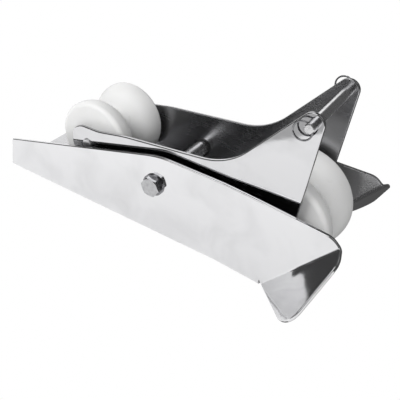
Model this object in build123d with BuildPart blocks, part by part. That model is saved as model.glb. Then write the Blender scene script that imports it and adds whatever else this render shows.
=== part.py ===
from build123d import *

import os
from math import cos, radians, sin, tan

# Tilting bow roller: a folded sheet channel bolted to the deck, and a cradle that rocks in it
# on one bolt, with a grooved roller at each end and a retaining pin across its horns.
# Millimetres, X forward over the bow, Y to port, Z up.
# The origin is the middle of the four deck bolts, on the underside of the channel.

# Channel
sheet = 3.0
soft_edge = 0.9
channel_width = 90.0
channel_bend_inside = 2.0
channel_rear_x = -86.3
cheek_rear_top = (-82.3, 32.5)
cheek_crest = (87.5, 81.6)
cheek_shoulder = (176.0, 81.6)
cheek_nose = (261.6, 79.2)
cheek_corner = (265.0, 3.0)
cheek_rear_radius = 2.0
cheek_crest_radius = 75.0
cheek_shoulder_radius = 1200.0
cheek_nose_cut = 10.1
cheek_nose_radius = 14.0
cheek_corner_radius = 17.0

# Ahead of this line the cheeks splay outwards
splay_x = 150.0
splay_angle = 4.0

# Flared front corner of each cheek
crease_foot = (198.1, 5.5)
crease_slope = 51.5
flare_angle = 62.6
flare_bend_inside = 3.0
relief_width = 1.2
relief_top_z = 7.2

# Opening in the channel's floor for the front roller
slot_rear_x = 100.0
slot_clearance = 1.9
slot_corner_radius = 8.0

# Deck bolts
deck_bolt_pitch = 120.0
deck_bolt_gauge = 56.0
deck_bolt_hole = 8.5

# Cradle
pivot_x = 85.4
pivot_z = 52.4
cradle_inside = 69.2
plate_rear_low = (-10.9, 41.6)
plate_rear_top = (-10.8, 74.6)
plate_dip = (19.0, 75.2)
plate_rise = (46.4, 81.2)
plate_valley = (146.8, 94.1)
plate_horn = (217.4, 178.6)
plate_front_low = (209.0, 26.3)
plate_radii = (17.8, 14.0, 40.0, 150.0, 60.0, 9.0, 21.0)
rear_axle_x = 7.0
rear_axle_z = 58.8
front_axle_x = 189.3
front_axle_z = 48.7
pin_x = 207.5
pin_z = 152.0

# Pivot hardware
bolt_diameter = 10.0
bolt_across_flats = 16.0
bolt_head_height = 5.0
bolt_head_turn = -4.0
washer_diameter = 20.0
washer_thickness = 1.6
nut_height = 7.0
nut_collar_diameter = 14.6
nut_collar_height = 3.0
nut_insert_diameter = 12.0
nut_insert_depth = 0.5
bolt_past_nut = 2.0
tube_diameter = 14.0
tube_bore = 10.2
bush_diameter = 16.0
bush_flange_diameter = 17.5
bush_flange = 1.0
hex_chamfer = 1.1
hex_chamfer_depth = 0.65
spacer_diameter = 20.0

# Rollers and their axles
roller_width = 60.0
front_roller_diameter = 99.0
rear_roller_diameter = 71.5
front_waist_diameter = 45.0
rear_waist_diameter = 34.0
roller_rim_round = 4.0
axle_diameter = 12.0
axle_end_diameter = 10.0
axle_dome = 1.2
roller_spacer_diameter = 22.0

# Retaining pin and its split rings
pin_diameter = 8.0
pin_past_horn = 7.6
pin_chamfer = 0.8
ring_from_pin_end = 3.2
ring_radius = 7.25
ring_wire = 1.3
ring_hole = 3.1
starboard_ring_lean = -129.5
port_ring_lean = -93.5

# Clearances
running_fit = 0.05
side_play = 0.3
bolt_fit = 0.2

# Worked out from the above
cheek_outside = channel_width / 2
cheek_inside = cheek_outside - sheet
cradle_inner = cradle_inside / 2
cradle_outer = cradle_inner + sheet
roller_half = roller_width / 2
slot_width = 2 * (cradle_outer + slot_clearance)
pin_end_y = cradle_outer + pin_past_horn
ring_place_y = pin_end_y - ring_from_pin_end
ring_reach = (ring_radius + (ring_radius**2 - (pin_diameter / 2) ** 2) ** 0.5) / 2

os.makedirs("parts", exist_ok=True)


def save(part, label):
    part.label = label
    export_step(part, f"parts/{label}.step")


def cross_plane(x, z):
    """Plane whose first direction is +Y and second +Z, for turned pieces on a cross axis."""
    return Plane(origin=(x, 0, z), x_dir=(0, 1, 0), z_dir=(1, 0, 0))


# Channel: the floor and both cheeks are folded from one sheet. The cheeks splay a little ahead of
# the pivot, and the front lower corner of each is creased outwards, so that a chain leading off
# to one side runs over a flare. One side is made flat, then turned out and mirrored.
crease_direction = Vector(cos(radians(crease_slope)), 0, sin(radians(crease_slope)))
past_crease = Vector(sin(radians(crease_slope)), 0, -cos(radians(crease_slope)))
crease_point = Vector(crease_foot[0], cheek_outside, crease_foot[1])
bend_setback = flare_bend_inside * tan(radians(flare_angle / 2))
bend_foot = crease_point - past_crease * bend_setback
flare_foot = crease_point + past_crease * bend_setback
relief_rear_x = bend_foot.X - relief_width
reach = channel_width

# The nose is cut square to the crease, so that the bend ends on a straight edge.
foot_to_nose = Vector(cheek_nose[0], 0, cheek_nose[1]) - Vector(crease_foot[0], 0, crease_foot[1])
crease_length = foot_to_nose.dot(crease_direction) - cheek_nose_cut
at_crease = Location((crease_foot[0], crease_foot[1], 0), (0, 0, crease_slope))
nose_cut_line = Axis(
    (
        crease_foot[0] + crease_length * crease_direction.X,
        crease_foot[1] + crease_length * crease_direction.Z,
        0,
    ),
    (past_crease.X, past_crease.Z, 0),
)
nose, shoulder, corner = (Vector(*point) for point in (cheek_nose, cheek_shoulder, cheek_corner))
cheek_top_line = Axis(nose, nose - shoulder)
cheek_front_line = Axis(nose, corner - nose)
nose_top = nose_cut_line.intersect(cheek_top_line)
nose_front = nose_cut_line.intersect(cheek_front_line)
cheek_radii = (
    0,
    cheek_rear_radius,
    cheek_crest_radius,
    cheek_shoulder_radius,
    cheek_nose_radius,
    cheek_nose_radius,
    cheek_corner_radius,
    *[0] * 5,
)

with BuildSketch(Plane.XZ) as blank:
    with BuildLine():
        FilletPolyline(
            (channel_rear_x, 0),
            cheek_rear_top,
            cheek_crest,
            cheek_shoulder,
            (nose_top.X, nose_top.Y),
            (nose_front.X, nose_front.Y),
            cheek_corner,
            (flare_foot.X, flare_foot.Z),
            (bend_foot.X, bend_foot.Z),
            (bend_foot.X, relief_top_z),
            (relief_rear_x, relief_top_z),
            (relief_rear_x, 0),
            radius=cheek_radii,
            close=True,
        )
    make_face()

with BuildSketch(Plane.XZ) as flare_outline:
    add(blank.sketch_local)
    with Locations(at_crease * Location((0, -bend_setback))):
        Rectangle(crease_length, reach, align=(Align.MIN, Align.MAX), mode=Mode.INTERSECT)

with BuildSketch(Plane.XZ) as side_outline:
    add(blank.sketch_local)
    with Locations(at_crease * Location((0, bend_setback))):
        Rectangle(reach, reach, align=(Align.MIN, Align.MAX), mode=Mode.SUBTRACT)

cheek_plane = Plane.XZ.offset(-cheek_outside)
to_crease = Location(crease_point)
flare_turn = to_crease * Location((0, 0, 0), crease_direction, flare_angle) * to_crease.inverse()
flare_plane = Plane(flare_turn * cheek_plane.location)
bend_face = Plane(origin=bend_foot, x_dir=crease_direction, z_dir=-past_crease)
bend_axis = Axis(bend_foot + Vector(0, flare_bend_inside, 0), crease_direction)

flare_across = flare_plane.z_dir

with BuildPart() as flat_side:
    with BuildSketch(Plane.YZ.offset(channel_rear_x)):
        with BuildLine():
            FilletPolyline(
                (0, 0),
                (cheek_outside, 0),
                (cheek_outside, reach),
                (cheek_inside, reach),
                (cheek_inside, sheet),
                (0, sheet),
                radius=(0, channel_bend_inside + sheet, 0, 0, channel_bend_inside, 0),
                close=True,
            )
        make_face()
    extrude(amount=cheek_nose[0] - channel_rear_x)
    with BuildSketch(Plane.XZ.offset(-reach)):
        add(side_outline.sketch_local)
    extrude(amount=2 * reach, mode=Mode.INTERSECT)
    with BuildSketch(bend_face):
        Rectangle(crease_length, sheet, align=(Align.MIN, Align.MAX))
    revolve(axis=bend_axis, revolution_arc=flare_angle)
    with BuildSketch(flare_plane):
        add(flare_outline.sketch_local)
    extrude(amount=sheet)


def on_sheet_rim(edge):
    """True for the edges that run round a cheek and its flare, and not for those across the sheet."""
    place, along = edge.center(), edge % 0.5
    not_rim = (Vector(0, 1, 0), flare_across, crease_direction)
    if edge.geom_type == GeomType.LINE and max(abs(along.dot(way)) for way in not_rim) > 0.99:
        return False
    if abs(place.X - splay_x) < soft_edge:
        return False
    return place.Z > relief_top_z + soft_edge or place.Y > cheek_outside + flare_bend_inside


# The splay line is mitred, so that both halves meet on one face.
to_splay = Location((splay_x, cheek_inside, 0))
splay_turn = to_splay * Location((0, 0, 0), (0, 0, splay_angle)) * to_splay.inverse()
half_splay = radians(splay_angle / 2)
rear_mitre = Plane(to_splay.position, x_dir=(0, 0, 1), z_dir=(cos(half_splay), sin(half_splay), 0))
front_mitre = Plane(to_splay.position, x_dir=(0, 0, 1), z_dir=(cos(half_splay), -sin(half_splay), 0))

with BuildPart() as rear_side:
    add(split(flat_side.part, rear_mitre, keep=Keep.BOTTOM))
    fillet(edges().filter_by(on_sheet_rim), soft_edge)

with BuildPart() as front_side:
    add(split(flat_side.part, front_mitre, keep=Keep.TOP))
    fillet(edges().filter_by(on_sheet_rim), soft_edge)

with BuildPart() as base_channel:
    add(rear_side.part)
    add(splay_turn * front_side.part)
    mirror(about=Plane.XZ)
    with BuildSketch():
        with Locations((slot_rear_x, 0)):
            Rectangle(2 * reach, slot_width, align=(Align.MIN, Align.CENTER))
        fillet(vertices().group_by(Axis.X)[0], slot_corner_radius)
    extrude(amount=sheet, mode=Mode.SUBTRACT)
    with Locations((0, 0, sheet)):
        with GridLocations(deck_bolt_pitch, deck_bolt_gauge, 2, 2):
            Hole(deck_bolt_hole / 2, depth=sheet)
    with Locations(Plane.XZ.offset(cheek_outside)):
        with Locations((pivot_x, pivot_z)):
            Hole(bolt_diameter / 2 + bolt_fit, depth=channel_width)
save(base_channel.part, "base_channel")

# Pivot: a hex bolt clamps a tube between the cheeks, and the cradle rocks on the tube.
hex_corner = bolt_across_flats / 2 / cos(radians(30))
washer_face = cheek_outside + washer_thickness
starboard_cheek = Plane(origin=(pivot_x, -cheek_outside, pivot_z), x_dir=(1, 0, 0), z_dir=(0, -1, 0))
port_cheek = Plane(origin=(pivot_x, cheek_outside, pivot_z), x_dir=(-1, 0, 0), z_dir=(0, 1, 0))
starboard_seat = starboard_cheek.offset(washer_thickness)
port_seat = port_cheek.offset(washer_thickness)
shank_length = 2 * washer_face + nut_height + nut_collar_height + bolt_past_nut

with BuildPart() as pivot_bolt:
    with BuildSketch(starboard_seat):
        Circle(hex_corner)
    extrude(amount=bolt_head_height)
    head_face = faces().sort_by(Axis.Y)[0]
    chamfer(head_face.edges(), hex_chamfer, hex_chamfer_depth, reference=head_face)
    with BuildSketch(starboard_seat):
        RegularPolygon(bolt_across_flats / 2, 6, major_radius=False, rotation=bolt_head_turn)
    extrude(amount=bolt_head_height, mode=Mode.INTERSECT)
    with BuildSketch(starboard_seat):
        Circle(bolt_diameter / 2)
    extrude(amount=-shank_length)
    chamfer(faces().sort_by(Axis.Y)[-1].edges(), pin_chamfer)
save(pivot_bolt.part, "pivot_bolt")


def pivot_ring(plane, length, outer, inner):
    """A washer, spacer or tube round the pivot, from the plane outwards."""
    with BuildPart() as ring:
        with BuildSketch(plane):
            Circle(outer / 2)
            Circle(inner / 2, mode=Mode.SUBTRACT)
        extrude(amount=length)
    return ring.part


washer_bore = bolt_diameter + 2 * bolt_fit
save(pivot_ring(starboard_cheek, washer_thickness, washer_diameter, washer_bore), "bolt_washer")
save(pivot_ring(port_cheek, washer_thickness, washer_diameter, washer_bore), "nut_washer")
starboard_inner = starboard_cheek.offset(-sheet)
port_inner = port_cheek.offset(-sheet)
spacer_length = cheek_inside - cradle_outer - side_play
save(pivot_ring(port_inner, -2 * cheek_inside, tube_diameter, tube_bore), "pivot_tube")
save(pivot_ring(starboard_inner, -spacer_length, spacer_diameter, tube_diameter), "spacer_starboard")
save(pivot_ring(port_inner, -spacer_length, spacer_diameter, tube_diameter), "spacer_port")

with BuildPart() as pivot_nut:
    with BuildSketch(port_seat):
        Circle(hex_corner)
    extrude(amount=nut_height)
    nut_ends = faces().sort_by(Axis.Y)
    chamfer(nut_ends[-1].edges(), hex_chamfer, hex_chamfer_depth, reference=nut_ends[-1])
    with BuildSketch(port_seat):
        RegularPolygon(bolt_across_flats / 2, 6, major_radius=False)
    extrude(amount=nut_height, mode=Mode.INTERSECT)
    with BuildSketch(port_seat.offset(nut_height)):
        Circle(nut_collar_diameter / 2)
    extrude(amount=nut_collar_height)
    fillet(faces().sort_by(Axis.Y)[-1].edges(), nut_collar_height / 3)
    with BuildSketch(port_seat):
        Circle(bolt_diameter / 2)
    extrude(amount=nut_height, mode=Mode.SUBTRACT)
    with BuildSketch(port_seat.offset(nut_height)):
        Circle(nut_insert_diameter / 2)
    extrude(amount=nut_collar_height, mode=Mode.SUBTRACT)
save(pivot_nut.part, "pivot_nut")
insert_length = nut_collar_height - nut_insert_depth
save(pivot_ring(port_seat.offset(nut_height), insert_length, nut_insert_diameter, bolt_diameter), "nut_insert")

# Cradle: two plates held apart by the axles, each with a bush that turns on the pivot tube.
starboard_plate = Plane.XZ.offset(cradle_inner)
port_plate = Plane.XZ.offset(-cradle_outer)


def cradle_plate(plane):
    with BuildPart() as plate:
        with BuildSketch(plane):
            with BuildLine():
                FilletPolyline(
                    plate_rear_low,
                    plate_rear_top,
                    plate_dip,
                    plate_rise,
                    plate_valley,
                    plate_horn,
                    plate_front_low,
                    radius=plate_radii,
                    close=True,
                )
            make_face()
        extrude(amount=sheet)
        fillet(edges().filter_by(Axis.Y, reverse=True), soft_edge)
        with BuildSketch(plane):
            with Locations((pivot_x, pivot_z)):
                Circle(bush_diameter / 2)
            with Locations((rear_axle_x, rear_axle_z), (front_axle_x, front_axle_z)):
                Circle(axle_end_diameter / 2)
            with Locations((pin_x, pin_z)):
                Circle(pin_diameter / 2 + running_fit)
        extrude(amount=sheet, mode=Mode.SUBTRACT)
    return plate.part


save(cradle_plate(starboard_plate), "cradle_plate_starboard")
save(cradle_plate(port_plate), "cradle_plate_port")


def pivot_bush(side):
    """A flanged bush in one plate, its flange against the plate's inner face."""
    inner_face = Plane((pivot_x, side * cradle_inner, pivot_z), x_dir=(1, 0, 0), z_dir=(0, side, 0))
    with BuildPart() as bush:
        with BuildSketch(inner_face):
            Circle(bush_diameter / 2)
        extrude(amount=sheet)
        with BuildSketch(inner_face):
            Circle(bush_flange_diameter / 2)
        extrude(amount=-bush_flange)
        with BuildSketch(inner_face.offset(-bush_flange)):
            Circle(tube_diameter / 2 + running_fit)
        extrude(amount=sheet + bush_flange, mode=Mode.SUBTRACT)
    return bush.part


save(pivot_bush(-1), "pivot_bush_starboard")
save(pivot_bush(1), "pivot_bush_port")


def axle(x, z):
    """A rod that spaces the plates, its reduced ends riveted over outside them."""
    with BuildPart() as rod:
        with BuildSketch(Plane.XZ):
            with Locations((x, z)):
                Circle(axle_diameter / 2)
        extrude(amount=cradle_inner, both=True)
        with BuildSketch(Plane.XZ):
            with Locations((x, z)):
                Circle(axle_end_diameter / 2)
        extrude(amount=cradle_outer + axle_dome, both=True)
        ends = faces().sort_by(Axis.Y)
        fillet(ends[0].edges() + ends[-1].edges(), axle_dome * 0.9)
    return rod.part


def axle_spacers(x, z):
    """The two washers that centre a roller between the plates."""
    with BuildPart() as washers:
        with BuildSketch(Plane.XZ.offset(-cradle_inner)):
            with Locations((x, z)):
                Circle(roller_spacer_diameter / 2)
                Circle(axle_diameter / 2, mode=Mode.SUBTRACT)
        extrude(amount=cradle_inner - roller_half - side_play)
        mirror(about=Plane.XZ)
    return washers.part


def grooved_roller(x, z, diameter, waist):
    """An hourglass roller: rounded rims, and a groove that flares smoothly up to them."""
    rim_y = roller_half - roller_rim_round
    bore = axle_diameter / 2 + running_fit
    top = diameter / 2
    with BuildPart() as roller:
        with BuildSketch(cross_plane(x, z)):
            with BuildLine():
                Spline((-rim_y, top), (0, waist / 2), (rim_y, top), tangents=[(1, 0), (1, 0), (1, 0)])
                RadiusArc((rim_y, top), (roller_half, top - roller_rim_round), roller_rim_round)
                Polyline(
                    (roller_half, top - roller_rim_round),
                    (roller_half, bore),
                    (-roller_half, bore),
                    (-roller_half, top - roller_rim_round),
                )
                RadiusArc((-roller_half, top - roller_rim_round), (-rim_y, top), roller_rim_round)
            make_face()
        revolve(axis=Axis((x, 0, z), (0, 1, 0)))
    return roller.part


save(axle(rear_axle_x, rear_axle_z), "rear_axle")
save(axle_spacers(rear_axle_x, rear_axle_z), "rear_axle_spacers")
save(grooved_roller(rear_axle_x, rear_axle_z, rear_roller_diameter, rear_waist_diameter), "rear_roller")
save(axle(front_axle_x, front_axle_z), "front_axle")
save(axle_spacers(front_axle_x, front_axle_z), "front_axle_spacers")
save(grooved_roller(front_axle_x, front_axle_z, front_roller_diameter, front_waist_diameter), "front_roller")

# Retaining pin: slides in the horns, and a split ring through each end keeps it there.
def ring_frame(side, lean):
    """Plane at one cross hole: its first direction follows the hole, its second the pin."""
    along_hole = (cos(radians(lean)), 0, -sin(radians(lean)))
    towards_ring = (sin(radians(lean)), 0, cos(radians(lean)))
    return Plane(origin=(pin_x, side * ring_place_y, pin_z), x_dir=along_hole, z_dir=towards_ring)


starboard_hole = ring_frame(-1, starboard_ring_lean)
port_hole = ring_frame(1, port_ring_lean)

with BuildPart() as retaining_pin:
    with BuildSketch(Plane.XZ):
        with Locations((pin_x, pin_z)):
            Circle(pin_diameter / 2)
    extrude(amount=pin_end_y, both=True)
    chamfer(edges().filter_by(GeomType.CIRCLE), pin_chamfer)
    for hole in (starboard_hole, port_hole):
        with BuildSketch(Plane(origin=hole.origin, x_dir=(0, 1, 0), z_dir=hole.x_dir)):
            Circle(ring_hole / 2)
        extrude(amount=pin_diameter, both=True, mode=Mode.SUBTRACT)
save(retaining_pin.part, "retaining_pin")


def split_ring(hole):
    centre = hole.origin + hole.z_dir * ring_reach
    with BuildPart() as ring:
        with BuildSketch(Plane(centre + hole.z_dir * ring_radius, x_dir=hole.z_dir, z_dir=hole.x_dir)):
            Circle(ring_wire / 2)
        revolve(axis=Axis(centre, (0, 1, 0)))
    return ring.part


save(split_ring(starboard_hole), "ring_starboard")
save(split_ring(port_hole), "ring_port")
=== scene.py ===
import bpy
import math
import numpy as np
from mathutils import Matrix, Vector


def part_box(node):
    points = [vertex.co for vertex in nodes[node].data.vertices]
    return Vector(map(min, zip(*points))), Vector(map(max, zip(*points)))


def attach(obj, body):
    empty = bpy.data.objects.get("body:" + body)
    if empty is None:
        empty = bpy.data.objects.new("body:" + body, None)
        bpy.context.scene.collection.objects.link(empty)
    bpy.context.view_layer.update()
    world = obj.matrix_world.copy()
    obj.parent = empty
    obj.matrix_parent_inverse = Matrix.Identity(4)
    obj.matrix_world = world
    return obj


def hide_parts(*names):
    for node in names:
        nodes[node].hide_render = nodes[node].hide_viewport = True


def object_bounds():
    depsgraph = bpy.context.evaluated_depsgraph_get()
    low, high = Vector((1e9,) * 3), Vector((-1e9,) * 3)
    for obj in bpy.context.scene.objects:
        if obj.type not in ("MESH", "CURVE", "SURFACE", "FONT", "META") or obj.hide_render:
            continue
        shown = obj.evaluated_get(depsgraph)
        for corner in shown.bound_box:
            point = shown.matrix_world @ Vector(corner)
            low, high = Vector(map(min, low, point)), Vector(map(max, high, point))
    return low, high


# Tilting bow roller in a white studio. Metres, +X forward over the bow, +Y to port, +Z up.
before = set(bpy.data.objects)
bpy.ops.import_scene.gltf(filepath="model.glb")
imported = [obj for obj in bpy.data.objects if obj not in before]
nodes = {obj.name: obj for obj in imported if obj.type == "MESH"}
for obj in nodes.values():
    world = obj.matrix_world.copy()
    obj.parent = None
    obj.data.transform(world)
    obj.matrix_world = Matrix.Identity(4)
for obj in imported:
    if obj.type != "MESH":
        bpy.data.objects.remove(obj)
cadBox = [list(map(float, corner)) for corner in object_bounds()]
print("frame loaded")


# Camera, fitted to the photograph's vanishing lines and to the pivot bolt's size
cameraLook = {
    "place": (0.3125, -0.3915, 0.3424),
    "azimuth": 27.62,  # degrees round from square on to the starboard side
    "elevation": 36.10,
    "roll": 6.60,
    "lens": 53.29,  # millimetres
    "sensor": 36,
    "nearest": 0.01,
}


def addCamera(look):
    azimuth = math.radians(look["azimuth"])
    elevation = math.radians(look["elevation"])
    roll = math.radians(look["roll"])
    back = Vector((
        math.sin(azimuth) * math.cos(elevation),
        -math.cos(azimuth) * math.cos(elevation),
        math.sin(elevation),
    ))
    level = Vector((math.cos(azimuth), math.sin(azimuth), 0))
    upright = back.cross(level)
    right = level * math.cos(roll) + upright * math.sin(roll)
    up = back.cross(right)
    data = bpy.data.cameras.new("camera")
    data.lens = look["lens"]
    data.sensor_width = look["sensor"]
    data.clip_start = look["nearest"]
    camera = bpy.data.objects.new("camera", data)
    turn = Matrix((right, up, back)).transposed().to_4x4()
    camera.matrix_world = Matrix.Translation(look["place"]) @ turn
    bpy.context.scene.collection.objects.link(camera)
    bpy.context.scene.camera = camera


addCamera(cameraLook)
print("camera placed")


# Shared effects, each a node group that puts out one value over the surface
def newGroup(name, inputs, output):
    group = bpy.data.node_groups.new(name, "ShaderNodeTree")
    for label, kind, value in inputs:
        socket = group.interface.new_socket(name=label, in_out="INPUT", socket_type=kind)
        socket.default_value = value
    group.interface.new_socket(name=output, in_out="OUTPUT", socket_type="NodeSocketFloat")
    return group, group.nodes.new("NodeGroupInput"), group.nodes.new("NodeGroupOutput")


# Patches: soft noise, cut to the range from Low to High and stretched to 0..1
def patchesGroup():
    group, given, result = newGroup(
        "softPatches",
        [
            ("Place", "NodeSocketVector", (0, 0, 0)),
            ("Scale", "NodeSocketFloat", 30.0),
            ("Detail", "NodeSocketFloat", 3.0),
            ("Distortion", "NodeSocketFloat", 0.0),
            ("Low", "NodeSocketFloat", 0.0),
            ("High", "NodeSocketFloat", 1.0),
        ],
        "Mask",
    )
    noise = group.nodes.new("ShaderNodeTexNoise")
    cut = group.nodes.new("ShaderNodeMapRange")
    link = group.links.new
    link(given.outputs["Place"], noise.inputs["Vector"])
    for label in ("Scale", "Detail", "Distortion"):
        link(given.outputs[label], noise.inputs[label])
    link(noise.outputs["Fac"], cut.inputs["Value"])
    link(given.outputs["Low"], cut.inputs["From Min"])
    link(given.outputs["High"], cut.inputs["From Max"])
    link(cut.outputs["Result"], result.inputs["Mask"])
    return group


# Marks: fine noise on the place times Stretch, so that it draws out along an axis with a small stretch
def marksGroup():
    group, given, result = newGroup(
        "toolMarks",
        [
            ("Place", "NodeSocketVector", (0, 0, 0)),
            ("Stretch", "NodeSocketVector", (1, 1, 1)),
            ("Scale", "NodeSocketFloat", 900.0),
        ],
        "Marks",
    )
    stretched = group.nodes.new("ShaderNodeVectorMath")
    stretched.operation = "MULTIPLY"
    noise = group.nodes.new("ShaderNodeTexNoise")
    noise.inputs["Detail"].default_value = 2
    link = group.links.new
    link(given.outputs["Place"], stretched.inputs[0])
    link(given.outputs["Stretch"], stretched.inputs[1])
    link(stretched.outputs["Vector"], noise.inputs["Vector"])
    link(given.outputs["Scale"], noise.inputs["Scale"])
    link(noise.outputs["Fac"], result.inputs["Marks"])
    return group


softPatches = patchesGroup()
toolMarks = marksGroup()


# Node helpers: each returns the socket that it makes, so that a surface reads as one formula
class Surface:
    def __init__(self, name, roughness, metallic=0.0):
        self.material = bpy.data.materials.new(name)
        self.material.use_nodes = True
        self.tree = self.material.node_tree
        self.shader = self.tree.nodes["Principled BSDF"]
        self.shader.inputs["Roughness"].default_value = roughness
        self.shader.inputs["Metallic"].default_value = metallic
        self.place = self.tree.nodes.new("ShaderNodeTexCoord").outputs["Object"]

    def feed(self, socket, value):
        if hasattr(value, "links"):
            self.tree.links.new(value, socket)
        else:
            socket.default_value = value

    def axes(self):
        node = self.tree.nodes.new("ShaderNodeSeparateXYZ")
        self.feed(node.inputs["Vector"], self.place)
        return node.outputs["X"], node.outputs["Y"], node.outputs["Z"]

    def shared(self, group, **values):
        node = self.tree.nodes.new("ShaderNodeGroup")
        node.node_tree = group
        self.feed(node.inputs["Place"], self.place)
        for label, value in values.items():
            node.inputs[label].default_value = value
        return node.outputs[0]

    def patches(self, scale, detail, low=0.0, high=1.0, distortion=0.0):
        return self.shared(softPatches, Scale=scale, Detail=detail, Low=low, High=high, Distortion=distortion)

    def marks(self, scale, stretch):
        return self.shared(toolMarks, Scale=scale, Stretch=stretch)

    def ramp(self, value, low, high, start=0.0, end=1.0):
        node = self.tree.nodes.new("ShaderNodeMapRange")
        self.feed(node.inputs["Value"], value)
        node.inputs["From Min"].default_value = low
        node.inputs["From Max"].default_value = high
        node.inputs["To Min"].default_value = start
        node.inputs["To Max"].default_value = end
        return node.outputs["Result"]

    def math(self, kind, first, second=0.0):
        node = self.tree.nodes.new("ShaderNodeMath")
        node.operation = kind
        self.feed(node.inputs[0], first)
        self.feed(node.inputs[1], second)
        return node.outputs["Value"]

    def mix(self, amount, first, second):
        node = self.tree.nodes.new("ShaderNodeMix")
        node.data_type = "RGBA"
        self.feed(node.inputs["Factor"], amount)
        self.feed(node.inputs["A"], first)
        self.feed(node.inputs["B"], second)
        return node.outputs["Result"]

    def bump(self, height, distance, strength, under=None):
        node = self.tree.nodes.new("ShaderNodeBump")
        node.inputs["Strength"].default_value = strength
        node.inputs["Distance"].default_value = distance
        self.feed(node.inputs["Height"], height)
        if under is not None:
            self.feed(node.inputs["Normal"], under)
        return node.outputs["Normal"]

    def colour(self, value):
        self.feed(self.shader.inputs["Base Color"], value)

    def rough(self, value):
        self.feed(self.shader.inputs["Roughness"], value)

    def normal(self, value):
        self.feed(self.shader.inputs["Normal"], value)


def paint(names, material):
    for name in names:
        mesh = nodes[name].data
        mesh.materials.clear()
        mesh.materials.append(material)


print("shared effects made")


# Sheet steel of the channel and the cradle. Heights are in metres.
channelLook = {
    "bright": (0.65, 0.65, 0.66, 1),
    "dull": (0.58, 0.58, 0.59, 1),
    # painted shade: a darker steel colour for the faces inside the channel
    "inner": (0.55, 0.55, 0.56, 1),
    "innerRough": 0.2,
    "innerHalf": 0.0437,  # from the middle plane to within the cheek's thickness
    "splayFrom": 0.15,
    "splaySlope": math.tan(math.radians(4)),
    "foldFrom": 0.19,
    "foldOver": 0.03,  # the folded waviness grows over this length
    "foldTop": 0.06,
    "grain": (0.03, 1.0, 1.0),
    "waveHeight": 0.0006,
    "foldHeight": 0.0008,
    "streakHeight": 0.000004,
}
cradleLook = dict(
    channelLook,
    bright=(0.57, 0.57, 0.58, 1),
    dull=(0.51, 0.51, 0.52, 1),
    # painted shade: a darker steel colour for the cradle plates' inward faces
    inner=(0.42, 0.42, 0.43, 1),
    innerHalf=sum(abs(corner[1]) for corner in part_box("cradle_plate_port")) / 2,
    splaySlope=0.0,
    foldFrom=1.0,
    grain=(0.05, 1.0, 1.0),
)


# Colour: bright steel, duller in broad soft smudges, with painted shade on the faces that look inwards: a
# darker steel colour there stands in for the shade inside the channel.
# Roughness: near mirror, raised in smudges and along fine polishing streaks, satin on the inward faces.
# Normal: a slow waviness of the rolled sheet, more where it was folded, and hair-fine streaks.
# Inward: the distance from the middle plane is less than innerHalf, plus the splay's slope past its start.
# This mask sets both the painted shade in the colour and the satin roughness.
def polishedSheet(name, look):
    s = Surface(name, 0.05, 1.0)
    x, y, z = s.axes()
    pastSplay = s.math("MAXIMUM", s.math("SUBTRACT", x, look["splayFrom"]), 0)
    reach = s.math("ADD", s.math("MULTIPLY", pastSplay, look["splaySlope"]), look["innerHalf"])
    inwardShadeAndSatin = s.math("LESS_THAN", s.math("ABSOLUTE", y), reach)
    ahead = s.ramp(x, look["foldFrom"], look["foldFrom"] + look["foldOver"])
    folded = s.math("MULTIPLY", ahead, s.ramp(z, look["foldTop"], look["foldTop"] - look["foldOver"]))
    smudge = s.patches(26, 3, 0.45, 0.75, 0.6)
    streak = s.marks(900, look["grain"])
    # painted shade: the inward faces take the darker inner colour in place of the bright steel
    s.colour(s.mix(inwardShadeAndSatin, s.mix(smudge, look["bright"], look["dull"]), look["inner"]))
    polish = s.math("ADD", s.ramp(smudge, 0, 1, 0.03, 0.09), s.ramp(streak, 0.4, 0.8, 0.0, 0.05))
    s.rough(s.math("ADD", polish, s.math("MULTIPLY", inwardShadeAndSatin, look["innerRough"])))
    wavy = s.bump(s.patches(14, 2), look["waveHeight"], 0.6)
    beaten = s.bump(s.math("MULTIPLY", s.patches(32, 1), folded), look["foldHeight"], 0.8, wavy)
    s.normal(s.bump(streak, look["streakHeight"], 0.5, beaten))
    return s.material


paint(["base_channel"], polishedSheet("channelSteel", channelLook))
paint(["cradle_plate_starboard", "cradle_plate_port"], polishedSheet("cradleSteel", cradleLook))
print("sheet steel made")


# Turned and forged steel
boltLook = {"colour": (0.42, 0.42, 0.43, 1), "roughness": 0.14, "markScale": 900}
washerLook = {"colour": (0.22, 0.22, 0.23, 1), "roughness": 0.22, "markScale": 900}
tubeLook = {"colour": (0.78, 0.78, 0.79, 1), "roughness": 0.2, "markScale": 1400}
pinLook = {"colour": (0.8, 0.8, 0.81, 1), "roughness": 0.24, "markScale": 1100}
ringLook = {"colour": (0.28, 0.28, 0.29, 1), "roughness": 0.2, "markScale": 900}


# Colour: grey steel, a fifth darker in small spots. Roughness: satin, uneven in fine spots.
# Normal: fine tool marks round the cross axis, from noise drawn out round it.
def turnedSteel(name, look):
    s = Surface(name, look["roughness"], 1.0)
    spots = s.patches(400, 3, 0.35, 0.7)
    marks = s.marks(look["markScale"], (0.04, 1.0, 0.04))
    dark = tuple(channel * 0.8 for channel in look["colour"][:3]) + (1,)
    s.colour(s.mix(spots, look["colour"], dark))
    spotted = s.ramp(spots, 0, 1, look["roughness"], look["roughness"] + 0.08)
    s.rough(s.math("ADD", spotted, s.ramp(marks, 0.4, 0.7, 0, 0.06)))
    s.normal(s.bump(marks, 0.00001, 0.6))
    return s.material


paint(["pivot_bolt", "pivot_nut"], turnedSteel("boltSteel", boltLook))
paint(["bolt_washer", "nut_washer"], turnedSteel("washerSteel", washerLook))
paint(["pivot_tube"], turnedSteel("tubeSteel", tubeLook))
paint(["retaining_pin", "front_axle", "rear_axle"], turnedSteel("pinSteel", pinLook))
print("turned steel made")


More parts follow.
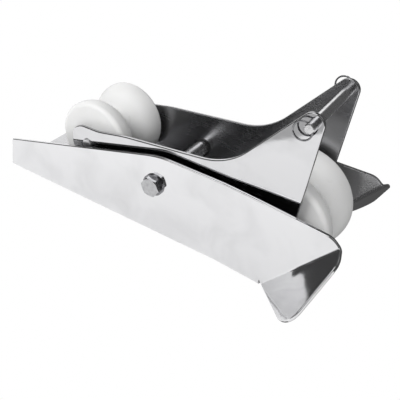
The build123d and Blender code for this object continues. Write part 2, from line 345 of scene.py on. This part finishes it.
# Nylon of the rollers and the spacers
rollerLook = {"colour": (0.66, 0.66, 0.658, 1), "shade": (0.60, 0.60, 0.595, 1)}
spacerLook = {"colour": (0.60, 0.60, 0.595, 1), "shade": (0.52, 0.52, 0.515, 1)}


# Colour: off-white, with faint cloudy patches and a few greyer scuffs.
# Roughness: satin, shinier in the clouds. Normal: turning marks round the roller, faint pits.
def nylon(name, look):
    s = Surface(name, 0.42)
    clouds = s.patches(35, 3, 0.35, 0.7)
    scuffs = s.patches(120, 5, 0.63, 0.75, 1.2)
    worn = s.math("MAXIMUM", s.math("MULTIPLY", clouds, 0.35), scuffs)
    s.colour(s.mix(worn, look["colour"], look["shade"]))
    s.rough(s.ramp(clouds, 0, 1, 0.46, 0.36))
    pits = s.bump(s.patches(700, 3), 0.00002, 0.4)
    s.normal(s.bump(s.marks(1500, (0.02, 1.0, 0.02)), 0.00001, 0.5, pits))
    s.shader.inputs["Subsurface Weight"].default_value = 0.15
    s.shader.inputs["Subsurface Radius"].default_value = (0.004, 0.004, 0.0035)
    s.shader.inputs["Subsurface Scale"].default_value = 1.0
    return s.material


paint(["front_roller", "rear_roller"], nylon("rollerNylon", rollerLook))
paint(
    ["spacer_starboard", "spacer_port", "front_axle_spacers", "rear_axle_spacers", "nut_insert"],
    nylon("spacerNylon", spacerLook),
)
print("nylon made")


bushLook = {"colour": (0.012, 0.012, 0.013, 1), "dust": (0.05, 0.05, 0.05, 1)}


# Colour: near black with faint grey dust. Roughness: dull, uneven. Normal: fine moulded grain.
def blackBush(name, look):
    s = Surface(name, 0.5)
    dust = s.patches(300, 4, 0.5, 0.8)
    s.colour(s.mix(dust, look["colour"], look["dust"]))
    s.rough(s.ramp(dust, 0, 1, 0.45, 0.65))
    s.normal(s.bump(s.patches(1500, 3), 0.00002, 0.4))
    return s.material


paint(["pivot_bush_starboard", "pivot_bush_port"], blackBush("bushPlastic", bushLook))
print("bushes made")


# Split rings: flat wire wound two turns side by side, each turn stepping over to the other
windingLook = {
    "steps": 300,
    "wireSteps": 12,
    "gap": 12,  # degrees between the wire's two ends
    "stepOver": 1 / 8,  # the crossing's share of a turn
}


# Path: angle a runs two turns less the gap, at centre + radius (cos a, 0, sin a), and moves across
# by half a wire in one smooth step, 3 s^2 - 2 s^3, at the end of the first turn.
# Section: an ellipse, a full wire outwards and half a wire across.
def splitRing(name, node, body, startAngle, look, material):
    low, high = (np.array(corner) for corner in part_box(node))
    centre = (low + high) / 2
    wire = high[1] - low[1]
    radius = (high[0] - low[0]) / 2 - wire / 2
    steps, wireSteps = look["steps"], look["wireSteps"]
    turned = np.linspace(0, 4 * np.pi - math.radians(look["gap"]), steps)
    step = np.clip((turned / (2 * np.pi) - 1) / look["stepOver"] + 0.5, 0, 1)
    side = (3 * step**2 - 2 * step**3 - 0.5) * wire / 2
    angle = turned + math.radians(startAngle)
    outward = np.stack([np.cos(angle), np.zeros_like(angle), np.sin(angle)], 1)
    middle = centre + outward * radius
    middle[:, 1] += side
    around = np.linspace(0, 2 * np.pi, wireSteps, endpoint=False)
    out = outward[:, None, :] * (np.cos(around) * wire / 2)[None, :, None]
    across = np.array([0, 1, 0]) * (np.sin(around) * wire / 4)[None, :, None]
    points = (middle[:, None, :] + out + across).reshape(-1, 3)
    rows = np.arange(steps - 1)[:, None] * wireSteps
    cols = np.arange(wireSteps)[None, :]
    nextCols = (cols + 1) % wireSteps
    quads = np.stack([rows + cols, rows + nextCols, rows + wireSteps + nextCols, rows + wireSteps + cols], 2)
    ends = [list(range(wireSteps))[::-1], list(range((steps - 1) * wireSteps, steps * wireSteps))]
    mesh = bpy.data.meshes.new(name)
    mesh.from_pydata(points.tolist(), [], quads.reshape(-1, 4).tolist() + ends)
    mesh.shade_smooth()
    mesh.materials.append(material)
    piece = bpy.data.objects.new(name, mesh)
    bpy.context.scene.collection.objects.link(piece)
    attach(piece, body)
    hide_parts(node)


ringSteel = turnedSteel("ringSteel", ringLook)
splitRing("starboardSplitRing", "ring_starboard", "starboard_ring", 200, windingLook, ringSteel)
splitRing("portSplitRing", "ring_port", "port_ring", 100, windingLook, ringSteel)
print("split rings made")


# Stage: a paper sheet and a grey desk below it, which the steel mirrors.
# The camera looks through both, so that a tilted roller shows below them. Edges are in millimetres.
paperLook = {
    "edge": [
        (-480, 190), (-480, -235), (40, -195), (84, -212), (99, -256), (113, -274), (145, -314),
        (320, -420), (900, -500), (900, -95), (222, -95), (222, 190),
    ],
    "drop": 0.0003,  # below the object
    "shade": 0.9,
    "glow": 0.15,  # added for mirrored rays alone
}
deskLook = {
    "edge": [
        (-150, -180), (-150, -420), (40, -700), (700, -900),
        (700, -480), (320, -400), (100, -250), (40, -180),
    ],
    "drop": 0.0009,
    "shade": 0.45,
    "glow": 0.0,
}


def addSheet(name, look):
    height = cadBox[0][2] - look["drop"]
    corners = [(x / 1000, y / 1000, height) for x, y in look["edge"]]
    mesh = bpy.data.meshes.new(name)
    mesh.from_pydata(corners, [], [tuple(range(len(corners)))])
    s = Surface(name + "Card", 0.9)
    s.colour((look["shade"],) * 3 + (1,))
    tree = s.tree
    path = tree.nodes.new("ShaderNodeLightPath")
    s.shader.inputs["Emission Color"].default_value = (1, 1, 1, 1)
    glow = s.math("MULTIPLY", path.outputs["Is Glossy Ray"], look["glow"])
    s.feed(s.shader.inputs["Emission Strength"], glow)
    clear = tree.nodes.new("ShaderNodeBsdfTransparent")
    blend = tree.nodes.new("ShaderNodeMixShader")
    tree.links.new(path.outputs["Is Camera Ray"], blend.inputs["Fac"])
    tree.links.new(s.shader.outputs["BSDF"], blend.inputs[1])
    tree.links.new(clear.outputs["BSDF"], blend.inputs[2])
    tree.links.new(blend.outputs["Shader"], tree.nodes["Material Output"].inputs["Surface"])
    mesh.materials.append(s.material)
    sheet = bpy.data.objects.new(name, mesh)
    sheet.visible_shadow = False
    bpy.context.scene.collection.objects.link(sheet)


addSheet("floorPaper", paperLook)
addSheet("floorDesk", deskLook)
print("floor laid")


# Lamps: soft discs that matt surfaces and the paper see, and gloss doesn't
keyLight = {"place": (-0.45, -0.75, 1.0), "aim": (0.05, -0.05, 0.0), "size": 0.9, "power": 14}
fillLight = {"place": (0.75, -1.0, 0.8), "aim": (0.1, 0, 0.05), "size": 0.9, "power": 6}


def addLight(name, look):
    data = bpy.data.lights.new(name, "AREA")
    data.shape = "DISK"
    data.size = look["size"]
    data.energy = look["power"]
    light = bpy.data.objects.new(name, data)
    light.location = look["place"]
    light.rotation_euler = (Vector(look["place"]) - Vector(look["aim"])).to_track_quat("Z", "Y").to_euler()
    light.visible_glossy = False
    bpy.context.scene.collection.objects.link(light)


addLight("keyLight", keyLight)
addLight("fillLight", fillLight)
print("lamps hung")


# Room: white to the camera, dim and even for matt surfaces, soft boxes on near black for gloss.
# A soft box is a direction, full and fading half-angles in degrees, and a brightness.
roomLook = {
    "softBoxes": [
        ((-0.27, -0.74, 0.62), 10, 18, 2.6),
        ((-0.37, -0.91, 0.21), 8, 16, 0.9),
        ((-0.70, 0.65, 0.32), 18, 32, 1.25),
        ((0.55, 0.10, 0.85), 6, 34, 0.35),
    ],
    "gloss": 0.09,
    "matt": 0.5,
    "camera": 1.0,
}


# Soft box: the cosine between a ray and the box's direction, a smooth step from its fading to its full angle
def addRoom(look):
    world = bpy.data.worlds.new("studio")
    world.use_nodes = True
    tree = world.node_tree
    tree.nodes.clear()
    place = tree.nodes.new("ShaderNodeTexCoord")
    total = None
    for direction, full, fade, brightness in look["softBoxes"]:
        aim = tree.nodes.new("ShaderNodeVectorMath")
        aim.operation = "DOT_PRODUCT"
        tree.links.new(place.outputs["Generated"], aim.inputs[0])
        aim.inputs[1].default_value = Vector(direction).normalized()
        box = tree.nodes.new("ShaderNodeMapRange")
        box.interpolation_type = "SMOOTHSTEP"
        tree.links.new(aim.outputs["Value"], box.inputs["Value"])
        box.inputs["From Min"].default_value = math.cos(math.radians(fade))
        box.inputs["From Max"].default_value = math.cos(math.radians(full))
        box.inputs["To Min"].default_value = 0
        box.inputs["To Max"].default_value = brightness
        added = tree.nodes.new("ShaderNodeMath")
        tree.links.new(box.outputs["Result"], added.inputs[0])
        if total is None:
            added.inputs[1].default_value = look["gloss"]
        else:
            tree.links.new(total, added.inputs[1])
        total = added.outputs["Value"]
    path = tree.nodes.new("ShaderNodeLightPath")
    lit = tree.nodes.new("ShaderNodeMix")
    tree.links.new(path.outputs["Is Glossy Ray"], lit.inputs["Factor"])
    lit.inputs["A"].default_value = look["matt"]
    tree.links.new(total, lit.inputs["B"])
    seen = tree.nodes.new("ShaderNodeMix")
    tree.links.new(path.outputs["Is Camera Ray"], seen.inputs["Factor"])
    tree.links.new(lit.outputs["Result"], seen.inputs["A"])
    seen.inputs["B"].default_value = look["camera"]
    background = tree.nodes.new("ShaderNodeBackground")
    background.inputs["Color"].default_value = (1, 1, 1, 1)
    tree.links.new(seen.outputs["Result"], background.inputs["Strength"])
    out = tree.nodes.new("ShaderNodeOutputWorld")
    tree.links.new(background.outputs["Background"], out.inputs["Surface"])
    bpy.context.scene.world = world


addRoom(roomLook)
bpy.context.scene.view_settings.view_transform = "Standard"
print("room set")
